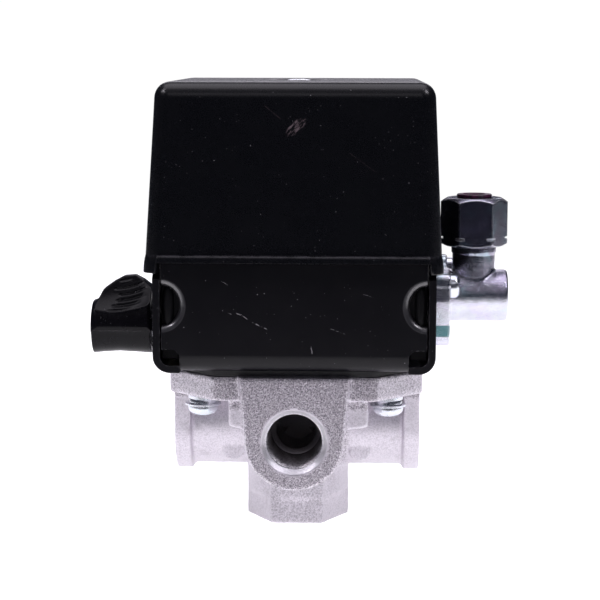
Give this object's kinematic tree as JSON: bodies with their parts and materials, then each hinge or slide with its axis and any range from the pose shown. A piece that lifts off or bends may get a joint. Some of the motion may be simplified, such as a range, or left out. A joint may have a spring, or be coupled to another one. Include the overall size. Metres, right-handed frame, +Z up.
{
  "type": "air compressor pressure switch",
  "caption": "Air compressor pressure switch with a ported manifold, thumb knob for auto and off, spring-loaded lever mechanism, contact block, unloader valve and lift-off cover.",
  "frame": {"origin": "centre of the tank port's mouth, on the bottom face of the hexagon, midway across the whole object's width and depth", "axes": "+Z up along the tank port, -Y out of the front port, -X towards the knob, +X towards the unloader valve"},
  "size_m": [0.098, 0.0708, 0.1035],
  "materials": {
    "cast": "grainy bead-blasted cast",
    "frame": "black semi-gloss paint",
    "cover": "black satin moulded",
    "knob": "black satin moulded",
    "dark_plastic": "black moulded",
    "phenolic": "dark brown moulded phenolic",
    "carrier": "natural nylon",
    "rubber": "black rubber",
    "zinc": "blue-white zinc plate",
    "valve_zinc": "bright blue-white zinc plate",
    "yellow_zinc": "yellow chromate zinc plate",
    "brass": "machined",
    "silver": "silver-plated copper",
    "spring": "oiled spring wire",
    "green": "green passivated screw"
  },
  "bodies": {
    "housing": {"manifold": "cast", "diaphragm": "rubber", "frame": "frame", "manifold_screw_1": "zinc", "manifold_screw_2": "zinc", "manifold_screw_3": "zinc", "manifold_screw_4": "zinc", "corner_insulator_left": "dark_plastic", "corner_insulator_right": "dark_plastic", "cable_grommet_1": "rubber", "cable_grommet_2": "rubber", "bridge": "zinc", "cover_post": "zinc", "contact_block": "phenolic", "block_screw_1": "zinc", "block_screw_2": "zinc", "terminal_1": "brass", "terminal_2": "brass", "terminal_3": "brass", "terminal_4": "brass", "terminal_screw_1": "zinc", "terminal_screw_2": "zinc", "terminal_screw_3": "zinc", "terminal_screw_4": "zinc", "lever_pin_1": "zinc", "lever_pin_2": "zinc", "trip_pin": "zinc", "range_stud": "zinc", "differential_stud": "zinc", "earth_screw_1": "green", "earth_screw_2": "green", "unloader_body": "valve_zinc", "unloader_nut": "valve_zinc", "unloader_ferrule": "brass", "unloader_sleeve": "dark_plastic", "unloader_spring": "spring", "unloader_plug": "brass", "unloader_screw_1": "zinc", "unloader_screw_2": "zinc"},
    "piston": {"diaphragm_piston": "yellow_zinc"},
    "pressure_lever": {"pressure_lever": "zinc", "range_spring": "spring", "differential_spring": "spring"},
    "trip_lever": {"trip_lever": "yellow_zinc"},
    "carrier": {"contact_carrier": "carrier", "moving_contact_1": "silver", "moving_contact_2": "silver", "contact_spring_1": "spring", "contact_spring_2": "spring"},
    "knob": {"knob": "knob", "knob_shaft": "zinc", "shaft_clip": "spring"},
    "unloader_pin": {"unloader_pin": "brass"},
    "range_seat": {"range_seat": "zinc"},
    "range_nut": {"range_nut": "zinc"},
    "differential_seat": {"differential_seat": "zinc"},
    "differential_nut": {"differential_nut": "zinc"},
    "cover": {"cover": "cover", "cover_screw": "zinc"}
  },
  "joints": [
    {"name": "pressure_lever_pivot", "type": "hinge", "parent": "housing", "child": "pressure_lever", "pos_m": [-0.024, 0, 0.0473], "axis": [0, -1, 0], "range_deg": [0, 3], "deforming": ["range_spring", "differential_spring"]},
    {"name": "piston_slide", "type": "slide", "parent": "housing", "child": "piston", "axis": [0, 0, 1], "range_m": [0, 0.00116]},
    {"name": "trip_lever_pivot", "type": "hinge", "parent": "housing", "child": "trip_lever", "pos_m": [0, 0, 0.0545], "axis": [0, -1, 0], "range_deg": [0, 9]},
    {"name": "carrier_slide", "type": "slide", "parent": "housing", "child": "carrier", "axis": [0, 0, -1], "range_m": [0, 0.00251]},
    {"name": "unloader_pin_slide", "type": "slide", "parent": "housing", "child": "unloader_pin", "axis": [1, 0, 0], "range_m": [0, 0.00071]},
    {"name": "knob_turn", "type": "hinge", "parent": "housing", "child": "knob", "pos_m": [-0.04, 0, 0.0449], "axis": [1, 0, 0], "range_deg": [0, 75]},
    {"name": "range_nut_turn", "type": "hinge", "parent": "range_seat", "child": "range_nut", "pos_m": [0.0175, 0, 0.072], "axis": [0, 0, 1], "range_deg": [-361, 361]},
    {"name": "range_seat_travel", "type": "slide", "parent": "housing", "child": "range_seat", "axis": [0, 0, 1], "range_m": [-0.001, 0.001]},
    {"name": "differential_nut_turn", "type": "hinge", "parent": "differential_seat", "child": "differential_nut", "pos_m": [0.0175, -0.0155, 0.064], "axis": [0, 0, 1], "range_deg": [-361, 361]},
    {"name": "differential_seat_travel", "type": "slide", "parent": "housing", "child": "differential_seat", "axis": [0, 0, 1], "range_m": [-0.0007, 0.0007]},
    {"name": "cover_lift", "type": "slide", "parent": "housing", "child": "cover", "axis": [0, 0, 1], "range_m": [0, 0.045]}
  ],
  "couplings": [
    {"joint": "piston_slide", "follows": "pressure_lever_pivot", "m_per_rad": 0.0219},
    {"joint": "trip_lever_pivot", "follows": "pressure_lever_pivot", "ratio": 3},
    {"joint": "carrier_slide", "follows": "pressure_lever_pivot", "m_per_rad": 0.04775},
    {"joint": "unloader_pin_slide", "follows": "pressure_lever_pivot", "m_per_rad": 0.0134},
    {"joint": "range_nut_turn", "follows": "range_seat_travel", "rad_per_m": -6283.2},
    {"joint": "differential_nut_turn", "follows": "differential_seat_travel", "rad_per_m": -8976}
  ]
}
